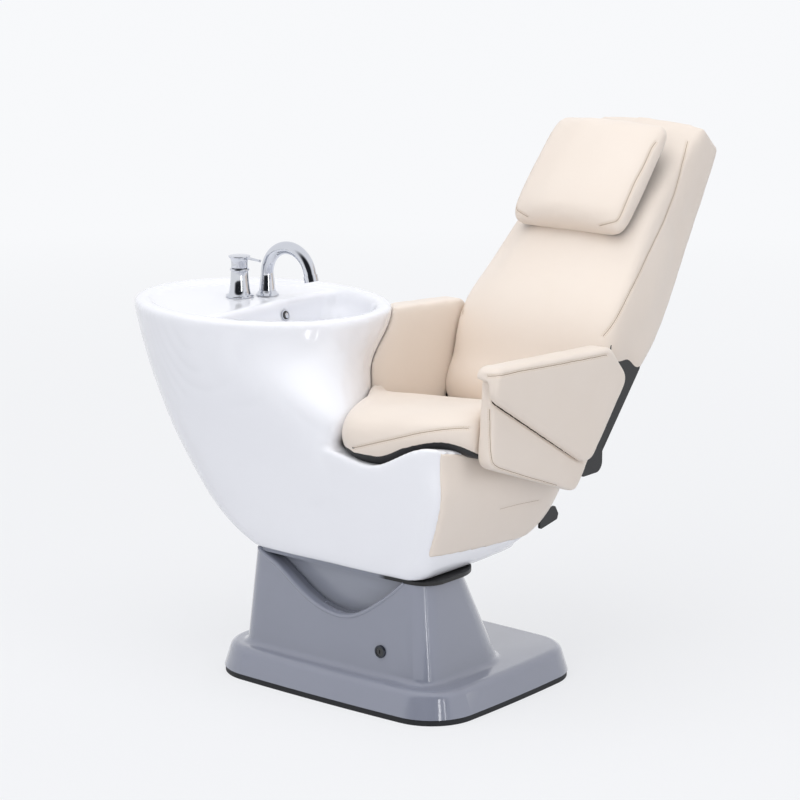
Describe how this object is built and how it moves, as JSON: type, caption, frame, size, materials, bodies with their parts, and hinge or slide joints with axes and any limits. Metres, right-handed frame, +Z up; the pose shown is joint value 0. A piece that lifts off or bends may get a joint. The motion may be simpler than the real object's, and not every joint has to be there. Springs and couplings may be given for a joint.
{
  "type": "hair washing bed",
  "caption": "Hair washing unit: a basin and a reclining seat with armrests and a headrest on one white moulded body, on a grey lifting column.",
  "frame": {"origin": "on the floor under the middle of the foot, on the underside of its steel base plate", "axes": "+Z up, -Y the way a sitter in the seat faces, -X towards the basin"},
  "size_m": [1.0727, 1.1566, 1.171],
  "materials": {
    "white_body": "gloss",
    "white_basin": "gloss",
    "cream_leather": "satin",
    "grey_cover": "gloss",
    "black_metal": "satin",
    "black_plastic": "matte",
    "rubber": "matte",
    "steel": "brushed",
    "chrome": "polished",
    "wood": "matte"
  },
  "bodies": {
    "base": {"floor_strip": "rubber", "base_plate": "steel", "floor_bolts": "steel", "column_cover": "grey_cover", "guide_sleeves": "steel", "lift_actuator": "steel", "lock_bezel": "black_metal"},
    "lock": {"lock_barrel": "black_metal", "lock_cam": "steel"},
    "lift": {"body_shell": "white_body", "seat_skirt": "cream_leather", "mounting_plate": "black_metal", "inner_cover": "grey_cover", "guide_rods": "steel", "lift_rod": "steel", "basin": "white_basin", "drain_flange": "chrome", "drain_strainer": "chrome", "overflow_ring": "chrome", "bottle_trap": "black_plastic", "waste_pipe": "black_plastic", "spout_base": "chrome", "spout_nut": "chrome", "tap_valve": "chrome", "valve_nut": "chrome", "seat_cushion": "cream_leather", "arm_panel_right": "cream_leather", "arm_panel_left": "cream_leather", "arm_pad_right": "cream_leather", "arm_pad_left": "cream_leather", "arm_brackets": "black_metal", "release_lever": "black_plastic", "hinge_brackets": "black_metal", "hinge_caps": "steel"},
    "spout": {"spout": "chrome", "aerator": "chrome"},
    "handle": {"tap_handle": "chrome", "tap_lever": "chrome"},
    "backrest": {"back_frame": "black_metal", "back_board": "wood", "back_cushion": "cream_leather"},
    "headrest": {"headrest_plate": "black_metal", "headrest_pad": "cream_leather"}
  },
  "joints": [
    {"name": "lift", "type": "slide", "parent": "base", "child": "lift", "axis": [0, 0, 1], "range_m": [0, 0.15]},
    {"name": "key_turn", "type": "hinge", "parent": "base", "child": "lock", "pos_m": [0.131, -0.2, 0.125], "axis": [0, -1, 0], "range_deg": [0, 90]},
    {"name": "spout_swivel", "type": "hinge", "parent": "lift", "child": "spout", "pos_m": [-0.44, 0.078, 0.82], "axis": [0, 0, 1], "range_deg": [-42, 60]},
    {"name": "tap_turn", "type": "hinge", "parent": "lift", "child": "handle", "pos_m": [-0.474, 0.022, 0.86], "axis": [0, 0, 1], "range_deg": [-70, 15]},
    {"name": "recline", "type": "hinge", "parent": "lift", "child": "backrest", "pos_m": [0.1, 0.285, 0.49], "axis": [1, 0, 0], "range_deg": [-28, 9]},
    {"name": "headrest_slide", "type": "slide", "parent": "backrest", "child": "headrest", "axis": [0, 0.6561, 0.7547], "range_m": [0, 0.05]}
  ]
}
